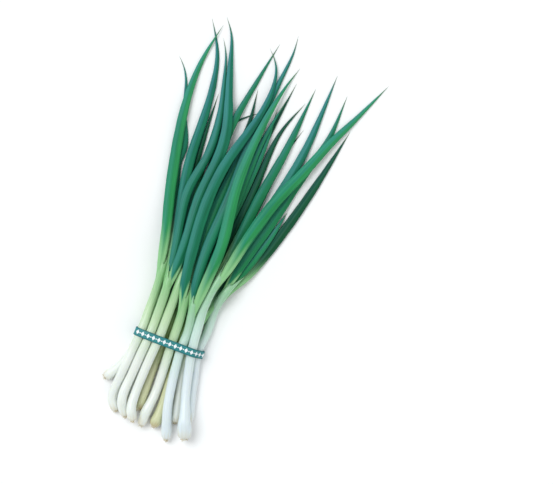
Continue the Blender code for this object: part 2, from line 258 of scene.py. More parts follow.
class Shape(Tree):
    """A Geometry Nodes tree with named inputs."""

    def __init__(self, name, inputs):
        super().__init__(bpy.data.node_groups.new(name, "GeometryNodeTree"))
        face = self.tree.interface
        face.new_socket("Geometry", in_out="OUTPUT", socket_type="NodeSocketGeometry")
        face.new_socket("Geometry", in_out="INPUT", socket_type="NodeSocketGeometry")
        for label, kind in inputs.items():
            face.new_socket(label, in_out="INPUT", socket_type="NodeSocket" + kind)
        face.new_socket("Material", in_out="INPUT", socket_type="NodeSocketMaterial")
        self.given = self.add("NodeGroupInput").outputs

    def named(self, name):
        node = self.add("GeometryNodeInputNamedAttribute", data_type="FLOAT")
        node.inputs["Name"].default_value = name
        return node.outputs["Attribute"]

    def keep(self, geometry, items):
        """Captures fields on the geometry's points: items are (name, kind, field)."""
        node = self.add("GeometryNodeCaptureAttribute", domain="POINT")
        for name, kind, _ in items:
            node.capture_items.new(kind, name)
        self.feed(node.inputs["Geometry"], geometry)
        for name, _, field in items:
            self.feed(node.inputs[name], field)
        return node.outputs

    def store(self, geometry, name, value, data_type="FLOAT"):
        node = self.add("GeometryNodeStoreNamedAttribute", data_type=data_type, domain="POINT")
        self.feed(node.inputs["Geometry"], geometry)
        self.feed(node.inputs["Name"], name)
        self.feed(node.inputs["Value"], value)
        return node.outputs[0]

    def end(self, geometry):
        real = self.add("GeometryNodeRealizeInstances")
        self.feed(real.inputs["Geometry"], geometry)
        paint = self.add("GeometryNodeSetMaterial")
        self.feed(paint.inputs["Geometry"], real.outputs[0])
        self.feed(paint.inputs["Material"], self.given["Material"])
        self.feed(self.add("NodeGroupOutput").inputs[0], paint.outputs[0])


def strand_tree():
    """A skin along a line of points: an oval tube with soft ribs, a channel and an open lip."""
    s = Shape(
        "Strand skin",
        {
            "Points Around": "Int",
            "Ribs": "Float",
            "Rib Depth": "Float",
            "Channel Depth": "Float",
            "Channel Side": "Float",
            "Unevenness": "Float",
            "Opening": "Float",
            "Opening Side": "Float",
            "Seed": "Float",
        },
    )
    line = s.add("GeometryNodeMeshToCurve")
    s.feed(line.inputs["Mesh"], s.given["Geometry"])
    profile = s.add("GeometryNodeCurvePrimitiveCircle")
    s.feed(profile.inputs["Resolution"], s.given["Points Around"])
    step = s.add("GeometryNodeInputIndex").outputs[0]
    turned = s.keep(profile.outputs["Curve"], [("step", "FLOAT", step)])
    swept = s.add("GeometryNodeCurveToMesh")
    s.feed(swept.inputs["Curve"], line.outputs["Curve"])
    s.feed(swept.inputs["Profile Curve"], turned["Geometry"])
    s.feed(swept.inputs["Fill Caps"], True)

    angle = s.math("MULTIPLY", s.math("DIVIDE", turned["step"], s.given["Points Around"]), 2 * math.pi)
    cosine, sine = s.math("COSINE", angle), s.math("SINE", angle)

    # Round the opening, the skin stops short: its points slide back along the line
    facing = s.math("COSINE", s.math("SUBTRACT", angle, s.given["Opening Side"]))
    sharpness = s.math("EXPONENT", s.math("DIVIDE", s.math("SUBTRACT", facing, 1.0), OPENING_SPAN))
    along = s.named("along")
    late = s.math("POWER", along, OPENING_LATE)
    back = s.math("MULTIPLY", s.math("MULTIPLY", s.given["Opening"], sharpness), late)
    reach = s.math("SUBTRACT", s.named("reach"), back)
    inset = s.named("inset")

    # The middle line's place and sizes at that reach
    place = s.add("GeometryNodeSampleCurve", mode="LENGTH", data_type="FLOAT_VECTOR")
    curve = line.outputs["Curve"]
    sizes = s.combine(s.named("wide"), s.named("high"), s.named("along"))
    s.feed(place.inputs["Curves"], curve)
    s.feed(place.inputs["Value"], sizes)
    s.feed(place.inputs["Length"], reach)
    parts = s.add("ShaderNodeSeparateXYZ")
    s.feed(parts.inputs[0], place.outputs["Value"])
    across = s.vector("NORMALIZE", s.vector("CROSS_PRODUCT", place.outputs["Tangent"], (0, 0, 1)))

    # Swellings along the strand, ribs round it and a channel down one side
    noise = s.add("ShaderNodeTexNoise", noise_dimensions="2D")
    waves = s.math("MULTIPLY", reach, WAVES_PER_METRE)
    s.feed(noise.inputs["Vector"], s.combine(waves, s.given["Seed"], 0.0))
    s.feed(noise.inputs["Scale"], 1.0)
    s.feed(noise.inputs["Detail"], 1.0)
    uneven = s.swing(noise.outputs[0], s.given["Unevenness"])
    ribbed = s.math("ADD", s.math("MULTIPLY", angle, s.given["Ribs"]), s.given["Seed"])
    ribs = s.math("MULTIPLY", s.math("SINE", ribbed), s.given["Rib Depth"])
    in_channel = s.math("COSINE", s.math("SUBTRACT", angle, s.given["Channel Side"]))
    hollow = s.math("EXPONENT", s.math("DIVIDE", s.math("SUBTRACT", in_channel, 1.0), CHANNEL_SPAN))
    channel = s.math("MULTIPLY", hollow, s.given["Channel Depth"])
    size = s.math("SUBTRACT", s.math("ADD", s.math("ADD", 1.0, uneven), ribs), channel)
    wide = s.math("SUBTRACT", s.math("MULTIPLY", parts.outputs["X"], size), inset)
    high = s.math("SUBTRACT", s.math("MULTIPLY", parts.outputs["Y"], size), inset)

    out = s.scaled(across, s.math("MULTIPLY", wide, cosine))
    up = s.combine(0.0, 0.0, s.math("MULTIPLY", high, sine))
    moved = s.add("GeometryNodeSetPosition")
    s.feed(moved.inputs["Geometry"], swept.outputs["Mesh"])
    offset = s.vector("ADD", out, up)
    s.feed(moved.inputs["Position"], s.vector("ADD", place.outputs["Position"], offset))

    shape = s.store(moved.outputs[0], "skin", s.combine(cosine, sine, reach), "FLOAT_VECTOR")
    shape = s.store(shape, "ripe", parts.outputs["Z"])
    shape = s.store(shape, "seed", s.given["Seed"])
    s.end(shape)
    return s.tree


def made(name, mesh, tree, material, values):
    """The tree's result on that mesh, as a plain closed mesh that faces outwards."""
    thing = bpy.data.objects.new(name, mesh)
    bpy.context.scene.collection.objects.link(thing)
    modifier = thing.modifiers.new(tree.name, "NODES")
    modifier.node_group = tree
    values = dict(values, Material=material)
    for item in tree.interface.items_tree:
        if item.in_out == "INPUT" and item.name in values:
            modifier[item.identifier] = values[item.name]
    evaluated = thing.evaluated_get(bpy.context.evaluated_depsgraph_get())
    result = bpy.data.meshes.new_from_object(evaluated)
    thing.modifiers.clear()
    thing.data = result
    result.name = name
    shape = bmesh.new()
    shape.from_mesh(result)
    bmesh.ops.recalc_face_normals(shape, faces=shape.faces)
    for face in shape.faces:
        face.smooth = True
    shape.to_mesh(result)
    shape.free()
    return thing


def line_mesh(name, rows, lip=False):
    """A line of points with each one's half width, half height, and share and distance along.

    With a lip, the skin turns in at its end and runs back inside itself: the points for that go
    straight on, since the tree puts their rings where their reach says.
    """
    reach = lengths_along(rows)
    whole = reach[-1]
    inset = np.zeros(len(rows))
    if lip:
        inner = np.linspace(0, 1, LIP_STATIONS)
        onward = rows[-1] - rows[-2]
        rows = np.vstack([rows, rows[-1] + onward * (1 + np.arange(LIP_STATIONS))[:, None]])
        reach = np.concatenate([reach, whole - LIP_INSIDE * inner])
        thin_edge = np.minimum(1, 0.4 + 3 * inner)
        inset = np.concatenate([inset, LIP_THICKNESS * thin_edge])
    mesh = bpy.data.meshes.new(name)
    mesh.from_pydata([tuple(row[:3]) for row in rows], [(i, i + 1) for i in range(len(rows) - 1)], [])
    columns = {"wide": rows[:, 3], "high": rows[:, 4], "reach": reach, "inset": inset}
    columns["along"] = reach / whole
    for label, column in columns.items():
        values = mesh.attributes.new(label, "FLOAT", "POINT").data
        values.foreach_set("value", column.astype(np.float32))
    return mesh


def belongs(piece, *nodes):
    """Puts the finished piece on the body and hides the CAD parts it stands for."""
    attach(piece, BODY)
    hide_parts(*nodes)


# ---------------------------------------------------------------- finishes


class Finish(Tree):
    """A material with one Principled shader."""

    def __init__(self, name, **settings):
        self.material = bpy.data.materials.new(name)
        self.material.use_nodes = True
        super().__init__(self.material.node_tree)
        self.shader = self.tree.nodes["Principled BSDF"]
        for socket, value in settings.items():
            self.shader.inputs[socket.replace("_", " ")].default_value = value

    def attribute(self, name):
        return self.add("ShaderNodeAttribute", attribute_name=name)

    def noise(self, place, scale, detail=2.0, roughness=0.5):
        node = self.add("ShaderNodeTexNoise")
        self.feed(node.inputs["Vector"], place)
        for socket, value in (("Scale", scale), ("Detail", detail), ("Roughness", roughness)):
            node.inputs[socket].default_value = value
        return node.outputs["Fac"]

    def mixed(self, share, first, second, blend="MIX"):
        node = self.add("ShaderNodeMix", data_type="RGBA", blend_type=blend)
        self.feed(node.inputs[0], share)
        for socket, value in ((node.inputs[6], first), (node.inputs[7], second)):
            self.feed(socket, value if isinstance(value, bpy.types.NodeSocket) else (*value, 1.0))
        return node.outputs[2]

    def colours(self, value, stops):
        """A colour for each value: stops are (value, colour)."""
        node = self.add("ShaderNodeValToRGB")
        marks = node.color_ramp.elements
        while len(marks) < len(stops):
            marks.new(1.0)
        for mark, (position, colour) in zip(marks, stops):
            mark.position, mark.color = position, (*colour, 1.0)
        self.feed(node.inputs[0], value)
        return node.outputs[0]

    def coated_with(self, colour, roughness, height, strength, distance):
        """Joins colour, roughness and bump to the shader."""
        self.feed(self.shader.inputs["Base Color"], colour)
        self.feed(self.shader.inputs["Roughness"], roughness)
        bump = self.add("ShaderNodeBump")
        bump.inputs["Strength"].default_value = strength
        bump.inputs["Distance"].default_value = distance
        self.feed(bump.inputs["Height"], height)
        self.feed(self.shader.inputs["Normal"], bump.outputs[0])
        return self.material


STREAKS_SHIFT, PATCHES_SHIFT = 11, 23  # keep the noises on one skin apart
SEED_STEP = 3.7, 1.9, 5.3  # and those on different skins
PLAIN = 1, 1, 1  # leaves a colour as it is
DRY_TIP = 0.20, 0.20, 0.09


def stretched_place(f, shift, around, along):
    """A place on a strand's skin for a noise, which changes this fast round it and along it."""
    parts = f.add("ShaderNodeSeparateXYZ")
    f.feed(parts.inputs[0], f.attribute("skin").outputs["Vector"])
    x = f.math("MULTIPLY", parts.outputs["X"], around)
    y = f.math("MULTIPLY", parts.outputs["Y"], around)
    z = f.math("MULTIPLY", parts.outputs["Z"], along)
    own = f.scaled(SEED_STEP, f.math("ADD", f.attribute("seed").outputs["Fac"], shift))
    return f.vector("ADD", f.combine(x, y, z), own)


def leaf_finish(name, painted_lit_side, painted_shade_side, base, greening):
    """Waxy leaf: pale at its base, then painted lighter and bluer on the side towards the light and
    darker green on its shaded side.

    It has fine veins, broad patches and a dry tip.
    """
    f = Finish(name, Roughness=0.4, Specular_IOR_Level=0.3, Specular_Tint=(0.5, 0.9, 0.72, 1.0))
    parts = f.add("ShaderNodeSeparateXYZ")
    f.feed(parts.inputs[0], f.attribute("skin").outputs["Vector"])
    reach, share = parts.outputs["Z"], f.attribute("ripe").outputs["Fac"]
    veins = f.noise(stretched_place(f, 0, 9.0, 9.0), 1.0, 3.0, 0.6)
    streaks = f.noise(stretched_place(f, STREAKS_SHIFT, 2.2, 5.0), 1.0, 2.0)
    patches = f.noise(stretched_place(f, PATCHES_SHIFT, 0.8, 28.0), 1.0, 3.0)
    side = f.math("ADD", parts.outputs["X"], f.swing(streaks, 1.2))
    # Painted light and shade: each leaf's left side, seen from base to tip, faces the light and is
    # painted lighter and bluer; its right side is painted darker green
    colour = f.mixed(f.ramp(side, -0.3, 0.4), painted_lit_side, painted_shade_side)
    tint = f.colours(patches, [(0.3, (0.72, 0.76, 0.74)), (0.5, PLAIN), (0.72, (1.18, 1.16, 1.06))])
    colour = f.mixed(0.8, colour, tint, "MULTIPLY")
    lines = f.colours(veins, [(0.32, (0.70, 0.74, 0.72)), (0.5, PLAIN), (0.7, (1.22, 1.2, 1.12))])
    colour = f.mixed(0.9, colour, lines, "MULTIPLY")
    colour = f.mixed(f.ramp(share, 0.4, 0.9), colour, f.mixed(1.0, colour, TIP_BLOOM, "MULTIPLY"))
    edge = f.math("MULTIPLY", f.math("ABSOLUTE", parts.outputs["X"]), GREENING_POINT)
    start = f.math("SUBTRACT", f.math("ADD", reach, f.swing(streaks, 18 * MM)), edge)
    colour = f.mixed(f.ramp(start, *greening), base, colour)
    dry = f.ramp(f.math("ADD", share, f.swing(streaks, 0.05)), 0.93, 1.0)
    colour = f.mixed(f.math("MULTIPLY", dry, 0.75), colour, DRY_TIP)
    rough = f.ramp(patches, 0.25, 0.75, 0.36, 0.5)
    height = f.math("ADD", f.math("MULTIPLY", veins, 0.7), f.math("MULTIPLY", patches, 0.3))
    return f.coated_with(colour, rough, height, 0.5, 0.25 * MM)


def shank_finish(name, low, middle, neck, root_tint):
    """Moist shank: tan at its very end, white above it and green at the neck, with fine lines."""
    f = Finish(
        name,
        Roughness=0.35,
        Specular_IOR_Level=0.5,
        Coat_Weight=0.18,
        Coat_Roughness=0.3,
        Subsurface_Weight=0.25,
        Subsurface_Scale=0.003,
        Subsurface_Radius=(1.0, 0.95, 0.7),
    )
    share = f.attribute("ripe").outputs["Fac"]
    veins = f.noise(stretched_place(f, 0, 8.0, 6.0), 1.0, 3.0, 0.6)
    bands = f.noise(stretched_place(f, STREAKS_SHIFT, 1.8, 7.0), 1.0, 2.0)
    at = f.math("ADD", share, f.swing(bands, 0.16))
    stops = [(0.0, root_tint), (0.06, low), (0.36, low), (0.62, middle), (0.86, neck), (1.0, neck)]
    colour = f.colours(at, stops)
    lines = f.colours(veins, [(0.3, (0.82, 0.86, 0.76)), (0.52, PLAIN), (0.72, (1.08, 1.08, 1.05))])
    colour = f.mixed(f.ramp(share, 0.05, 0.6, 0.25, 0.75), colour, lines, "MULTIPLY")
    rough = f.ramp(bands, 0.25, 0.75, 0.28, 0.46)
    height = f.math("ADD", f.math("MULTIPLY", veins, 0.8), f.math("MULTIPLY", bands, 0.2))
    return f.coated_with(colour, rough, height, 0.25, 0.2 * MM)


def root_finish():
    """Root plate and trimmed roots: cream, with tan and brown where they dried."""
    f = Finish("root_plate", Roughness=0.7)
    place = f.add("ShaderNodeTexCoord").outputs["Object"]
    fine, broad = f.noise(place, 900.0, 3.0), f.noise(place, 210.0)
    brown, tan, cream = (0.30, 0.22, 0.11), (0.62, 0.54, 0.36), (0.86, 0.82, 0.68)
    colour = f.colours(fine, [(0.3, brown), (0.5, tan), (0.7, cream)])
    colour = f.mixed(f.ramp(broad, 0.4, 0.62), colour, (0.82, 0.80, 0.70))
    return f.coated_with(colour, f.ramp(fine, 0.3, 0.7, 0.55, 0.85), fine, 0.5, 0.3 * MM)


def rubber_finish():
    """Teal rubber, darker along its edges."""
    f = Finish("band_rubber", Roughness=0.5)
    place = f.add("ShaderNodeTexCoord").outputs["Object"]
    edge = f.attribute("edge").outputs["Fac"]
    fine = f.noise(place, 1400.0, 3.0)
    colour = f.mixed(f.ramp(edge, 0.72, 0.95), (0.010, 0.215, 0.225), (0.006, 0.12, 0.13))
    worn = f.colours(f.noise(place, 160.0), [(0.3, (0.85, 0.88, 0.9)), (0.7, (1.1, 1.08, 1.06))])
    colour = f.mixed(0.6, colour, worn, "MULTIPLY")
    return f.coated_with(colour, f.ramp(fine, 0.3, 0.7, 0.42, 0.6), fine, 0.2, 0.05 * MM)


def print_finish():
    """White ink, a little thin in places."""
    f = Finish("band_print", Roughness=0.55)
    place = f.add("ShaderNodeTexCoord").outputs["Object"]
    fine = f.noise(place, 1100.0, 3.0)
    colour = f.mixed(f.ramp(fine, 0.35, 0.75), (0.80, 0.86, 0.87), (0.90, 0.93, 0.93))
    return f.coated_with(colour, f.ramp(fine, 0.3, 0.7, 0.45, 0.65), fine, 0.2, 0.02 * MM)


# ---------------------------------------------------------------- the plants


def own_seed(name):
    """A number that is the plant's or the leaf's own, the same at each run."""
    return random.Random(name).uniform(1.0, 60.0)


def neck_of(shank, leaves):
    """The shank's rows with a full neck, which runs up to where its leaves start and a little on."""
    along = lengths_along(shank)
    kept = shank[along <= along[-1] - NECK_BACK]
    bases = np.mean([leaf[1] for leaf in leaves], axis=0)[:3]
    beyond = []
    for leaf in leaves:
        open_part = leaf[1:]
        beyond.append(smoothly(lengths_along(open_part), open_part, np.array([NECK_BEYOND]))[0])
    end = np.mean(beyond, axis=0)[:3]
    heights = [leaf[1][2] for leaf in leaves]
    tall = max(0, (max(heights) - min(heights)) / 2 + LEAF_COVER - NECK_HALF_HEIGHT)
    neck = [*bases, NECK_HALF_WIDTH, NECK_HALF_HEIGHT + tall]
    lip = [*end, LIP_HALF_WIDTH, LIP_HALF_HEIGHT + tall / 2]
    return np.vstack([kept, [neck], [lip]])


def finely(rows, stations, crowding, eased):
    """Many rows in place of a few, bent through them and then eased.

    A crowding over 1 brings them closer together at the start, and one under 1 at the end.
    """
    along = lengths_along(rows)
    shares = np.linspace(0, 1, stations)
    shares = shares**crowding if crowding >= 1 else 1 - (1 - shares) ** (1 / crowding)
    fine = smoothly(along, rows, shares * along[-1])
    fine[:, :3] = bent_through(along, rows[:, :3], shares * along[-1])
    near_tip = np.clip((shares[1:-1, None] - EASED_UP_TO) / (1 - EASED_UP_TO), 0, 1)
    strength = 1 - 0.8 * near_tip
    for _ in range(eased):
        pull = (fine[:-2, :3] + fine[2:, :3]) / 2 - fine[1:-1, :3]
        fine[1:-1, :3] += pull * strength / 2
    return fine


def leaf_rows(leaf, shank, level):
    """The leaf's rows, carried back into its shank's neck.

    Its level is its place in the stack of the plant's leaves, from -1 to 1.
    """
    along = lengths_along(shank)
    neck = along[-1] - NECK_BEYOND
    inside = smoothly(along, shank, neck - HIDDEN_BACK)
    inside[:, 2] += level * HIDDEN_SPREAD
    inside[:, 3:] = HIDDEN_SIZES
    leaf = leaf[1:].copy()
    leaf[0, 3:] = np.maximum(leaf[0, 3:], BASE_AT_LEAST)
    return np.vstack([inside, leaf])


def taper(rows):
    """A blade is slimmer where it leaves the neck, and thins out slowly to a long fine tip."""
    along = lengths_along(rows)
    grown = np.clip((along - FULL_FROM) / FULL_AFTER, 0, 1)
    late = np.clip(2 * along / along[-1] - 1, 0, 1)
    slim = WHOLE_WIDTH * (BASE_WIDTH + (1 - BASE_WIDTH) * grown**0.8)
    slim *= (1 - LATE_NARROWING * late) * (1 - TIP_NARROWING * late**4)
    rows[:, 3] *= slim
    rows[:, 4] *= np.sqrt(slim)


# Colours of a shank's white part, its middle, its neck and its very end at the root
SHANK_TONES = {
    "white": ((0.80, 0.84, 0.79), (0.52, 0.70, 0.44), (0.26, 0.54, 0.24), (0.74, 0.70, 0.56)),
    "blue_white": ((0.73, 0.81, 0.84), (0.57, 0.75, 0.67), (0.30, 0.58, 0.34), (0.70, 0.70, 0.62)),
    # Painted shade: these olive tones are a darker copy of the shank colours, for the low shanks seen
    # in shadow between the others
    "olive": ((0.62, 0.64, 0.40), (0.27, 0.40, 0.13), (0.12, 0.30, 0.08), (0.50, 0.40, 0.20)),
}
TONE_OF = {"06": "blue_white", "12": "blue_white", "11": "blue_white", "03": "olive", "04": "olive"}
# Colours of a leaf's lit side, painted lighter and bluer, and of its shaded side, painted darker green:
# painted light and shade
LEAF_TONES = {
    "leaf_blue_green": ((0.022, 0.185, 0.150), (0.008, 0.160, 0.078)),
    "leaf_mid_green": ((0.018, 0.185, 0.115), (0.012, 0.195, 0.070)),
    "leaf_bright_green": ((0.022, 0.235, 0.135), (0.022, 0.255, 0.078)),
    # Painted shade: the dark green slot is a darkened copy of the leaf colours, for leaves lying in
    # shadow under the others
    "leaf_dark_green": ((0.004, 0.066, 0.038), (0.003, 0.072, 0.025)),
}
LEAF_BASE = 0.27, 0.55, 0.25
GREENINGS = {"inner": INNER_GREENING, "outer": OUTER_GREENING}


def grow_shank(number, rows, skin, finish):
    name = "shank_" + number
    seed = own_seed(name)
    values = {
        **SHANK_SURFACE,
        "Points Around": SHANK_AROUND,
        "Opening": OPENING_LENGTH,
        "Opening Side": math.pi / 2 + OPENING_TURN * math.sin(seed),
        "Seed": seed,
    }
    rows = finely(rows, SHANK_STATIONS, SHANK_CROWDING, SHANK_EASING)
    mesh = line_mesh("shank_skin_" + number, rows, lip=True)
    belongs(made("shank_skin_" + number, mesh, skin, finish, values), name)


def grow_roots(number, cad_shank, tree, finish):
    name = "root_plate_" + number
    values = {**ROOTS, "Seed": int(own_seed("shank_" + number))}
    piece = made(name, plate_mesh(cad_shank, name), tree, finish, values)
    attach(piece, BODY)


def grow_leaf(name, rows, skin, finish):
    seed = own_seed(name)
    values = {
        **LEAF_SURFACE,
        "Points Around": LEAF_AROUND,
        "Channel Side": math.pi / 2 + CHANNEL_TURN * math.sin(seed * 3),
        "Seed": seed,
    }
    blade = "leaf_blade_" + name[-3:]
    rows = finely(rows, LEAF_STATIONS, LEAF_CROWDING, LEAF_EASING)
    taper(rows)
    belongs(made(blade, line_mesh(blade, rows), skin, finish, values), name)


def grow_plants():
    skin = strand_tree()
    shank_finishes = {
        tone: shank_finish("shank_" + tone, *colours) for tone, colours in SHANK_TONES.items()
    }
    leaf_finishes = {
        (slot, place): leaf_finish(slot + "_" + place, *tones, LEAF_BASE, greening)
        for slot, tones in LEAF_TONES.items()
        for place, greening in GREENINGS.items()
    }
    roots = root_tree()
    root_material = root_finish()
    for shank_name in sorted(name for name in NODES if name.startswith("shank_")):
        number = shank_name[-2:]
        leaf_names = sorted(name for name in NODES if name.startswith("leaf_" + number))
        leaves = {name: rings_of(name, LEAF_CORNERS) for name in leaf_names}
        stack = sorted(leaf_names, key=lambda name: leaves[name][1][2])
        cad_shank = rings_of(shank_name, SHANK_CORNERS)
        shank = neck_of(cad_shank, list(leaves.values()))
        grow_shank(number, shank, skin, shank_finishes[TONE_OF.get(number, "white")])
        grow_roots(number, cad_shank, roots, root_material)
        for name in leaf_names:
            level = 0 if len(stack) < 2 else 2 * stack.index(name) / (len(stack) - 1) - 1
            outer = name == stack[0] or SLOT_OF[name] == "leaf_bright_green"
            finish = leaf_finishes[SLOT_OF[name], "outer" if outer else "inner"]
            grow_leaf(name, leaf_rows(leaves[name], shank, level), skin, finish)


# ---------------------------------------------------------------- roots


PLATE_CORNERS = 20
# A root plate's rings: their shares of its radius, and how far out in mm they lie
PLATE_RINGS = (1.0, -0.5), (0.97, 0.25), (0.8, 0.75), (0.5, 1.05), (0.2, 1.15)


def plate_mesh(shank, name):
    """The small domed plate at the root end: its rim lies in the shank's skin."""
    tip, ring = shank[0], shank[1]
    outward = Vector(tip[:3] - ring[:3]).normalized()
    across = outward.orthogonal().normalized()
    upward = outward.cross(across)
    radius = (ring[3] + ring[4]) / 2
    shape = bmesh.new()
    rings = []
    for share, rise in PLATE_RINGS:
        corners = []
        for i in range(PLATE_CORNERS):
            angle = 2 * math.pi * i / PLATE_CORNERS
            spread = (across * math.cos(angle) + upward * math.sin(angle)) * radius * share
            corners.append(shape.verts.new(Vector(ring[:3]) + spread + outward * rise * MM))
        rings.append(corners)
    for near, far in zip(rings, rings[1:]):
        for i in range(PLATE_CORNERS):
            shape.faces.new((near[i - 1], near[i], far[i], far[i - 1]))
    shape.faces.new(rings[-1])
    shape.faces.new(rings[0][::-1])
    shape.normal_update()
    mesh = bpy.data.meshes.new(name)
    shape.to_mesh(mesh)
    shape.free()
    return mesh


ROOTS = {"Roots": 26, "Root Radius": 0.24 * MM, "Root Length": 1.1 * MM}
ROOT_TILT = 0.5  # radians
SMALLEST_ROOT, LARGEST_ROOT = (0.7, 0.7, 0.5), (1.2, 1.2, 1.6)  # as shares of the root above
PLATE_GRAIN, PLATE_ROUGHNESS = 900.0, 0.5 * MM
SPOTS_PER_SQUARE_METRE = 1.0e6  # far more than the roots, which take the first of them


def root_tree():
    """A root plate made rough, with trimmed roots that stand on it."""
    s = Shape(
        "Trimmed roots",
        {"Roots": "Int", "Root Radius": "Float", "Root Length": "Float", "Seed": "Int"},
    )
    plate = s.given["Geometry"]
    noise = s.add("ShaderNodeTexNoise")
    s.feed(noise.inputs["Vector"], s.add("GeometryNodeInputPosition").outputs[0])
    s.feed(noise.inputs["Scale"], PLATE_GRAIN)
    rough = s.add("GeometryNodeSetPosition")
    s.feed(rough.inputs["Geometry"], plate)
    push = s.swing(noise.outputs[0], PLATE_ROUGHNESS)
    normal = s.add("GeometryNodeInputNormal").outputs[0]
    s.feed(rough.inputs["Offset"], s.scaled(normal, push))
    spots = s.add("GeometryNodeDistributePointsOnFaces", distribute_method="RANDOM")
    s.feed(spots.inputs["Mesh"], rough.outputs[0])
    s.feed(spots.inputs["Density"], SPOTS_PER_SQUARE_METRE)
    s.feed(spots.inputs["Seed"], s.given["Seed"])
    few = s.add("FunctionNodeCompare", data_type="INT", operation="GREATER_EQUAL")
    s.feed(few.inputs[2], s.add("GeometryNodeInputIndex").outputs[0])
    s.feed(few.inputs[3], s.given["Roots"])
    kept = s.add("GeometryNodeDeleteGeometry", domain="POINT")
    s.feed(kept.inputs["Geometry"], spots.outputs["Points"])
    s.feed(kept.inputs["Selection"], few.outputs[0])
    root = s.add("GeometryNodeMeshCone", fill_type="NGON")
    for label, value in (("Vertices", 7), ("Side Segments", 3), ("Fill Segments", 1)):
        s.feed(root.inputs[label], value)
    s.feed(root.inputs["Radius Bottom"], s.given["Root Radius"])
    s.feed(root.inputs["Radius Top"], s.math("MULTIPLY", s.given["Root Radius"], 0.6))
    s.feed(root.inputs["Depth"], s.given["Root Length"])
    tilt = s.add("FunctionNodeRandomValue", data_type="FLOAT_VECTOR")
    s.feed(tilt.inputs[0], (-ROOT_TILT, -ROOT_TILT, -math.pi))
    s.feed(tilt.inputs[1], (ROOT_TILT, ROOT_TILT, math.pi))
    s.feed(tilt.inputs["Seed"], s.given["Seed"])
    size = s.add("FunctionNodeRandomValue", data_type="FLOAT_VECTOR")
    s.feed(size.inputs[0], SMALLEST_ROOT)
    s.feed(size.inputs[1], LARGEST_ROOT)
    s.feed(size.inputs["Seed"], s.math("ADD", s.given["Seed"], 5.0))
    turned = s.add("FunctionNodeRotateRotation", rotation_space="LOCAL")
    s.feed(turned.inputs[0], spots.outputs["Rotation"])
    s.feed(turned.inputs[1], tilt.outputs[0])
    planted = s.add("GeometryNodeInstanceOnPoints")
    s.feed(planted.inputs["Points"], kept.outputs[0])
    s.feed(planted.inputs["Instance"], root.outputs["Mesh"])
    s.feed(planted.inputs["Rotation"], turned.outputs[0])
    s.feed(planted.inputs["Scale"], size.outputs[0])
    both = s.add("GeometryNodeJoinGeometry")
    s.feed(both.inputs[0], planted.outputs[0])
    s.feed(both.inputs[0], rough.outputs[0])
    s.end(both.outputs[0])
    return s.tree


# ---------------------------------------------------------------- the band


BAND_LOOP_POINTS = 240
BAND_EASING = 6  # passes that round the loop's corners
ON_THE_TABLE = 0.05 * MM  # what lies this low stays at its height
BAND_SHAPE = {"Thickness": 1.0 * MM, "Edge Radius": 0.38 * MM, "Waviness": 0.5 * MM}
BAND_WAVES = 55.0  # how fast the strip strays sideways along the loop, by its waviness
ORNAMENT = {
    "Spacing": 2.6 * MM,
    "Count": 34,
    "Start": 3.0 * MM,
    "Height": 4.2 * MM,
    "Proud": 0.04 * MM,
}
# The ornament's two shapes: corners, half width and half height as shares of its height, and cuts
DIAMOND, DOT = (4, 0.40, 0.52, 2), (12, 0.14, 0.14, 1)


def half_hull(order):
    """The upper or lower half of the tightest loop round points in the XZ plane."""
    chain = []
    for point in order:
        while len(chain) > 1:
            side, whole = np.subtract(chain[-1], chain[-2]), np.subtract(point, chain[-2])
            if side[0] * whole[1] - side[1] * whole[0] > 1e-12:
                break
            chain.pop()
        chain.append(point)
    return chain[:-1]


def band_loop():
    """The band's outer loop as evenly spaced points, its middle along Y, and its width."""
    band = NODES["rubber_band"]
    points = np.array([band.matrix_world @ corner.co for corner in band.data.vertices])
    flat = sorted({(round(x, 7), round(z, 7)) for x, _, z in points})
    hull = np.array(half_hull(flat) + half_hull(flat[::-1]))[::-1]
    hull = np.vstack([hull, hull[:1]])
    along = lengths_along(np.column_stack([hull[:, 0], hull[:, 1], 0 * hull[:, 0]]))
    wanted = np.linspace(0, along[-1], BAND_LOOP_POINTS, endpoint=False)
    loop = np.column_stack([np.interp(wanted, along, hull[:, k]) for k in (0, 1)])
    for _ in range(BAND_EASING):
        eased = (np.roll(loop, 1, axis=0) + 2 * loop + np.roll(loop, -1, axis=0)) / 4
        loop[:, 0] = eased[:, 0]
        loop[:, 1] = np.where(loop[:, 1] < ON_THE_TABLE, loop[:, 1], eased[:, 1])
    middle = (points[:, 1].min() + points[:, 1].max()) / 2
    return loop, middle, points[:, 1].max() - points[:, 1].min()


def loop_mesh(name, loop, middle):
    mesh = bpy.data.meshes.new(name)
    edges = [(i, (i + 1) % len(loop)) for i in range(len(loop))]
    mesh.from_pydata([(x, middle, z) for x, z in loop], edges, [])
    return mesh


def outward_of(s, tangent):
    """The way out of a loop that lies in the XZ plane."""
    return s.vector("NORMALIZE", s.vector("CROSS_PRODUCT", tangent, (0, 1, 0)))


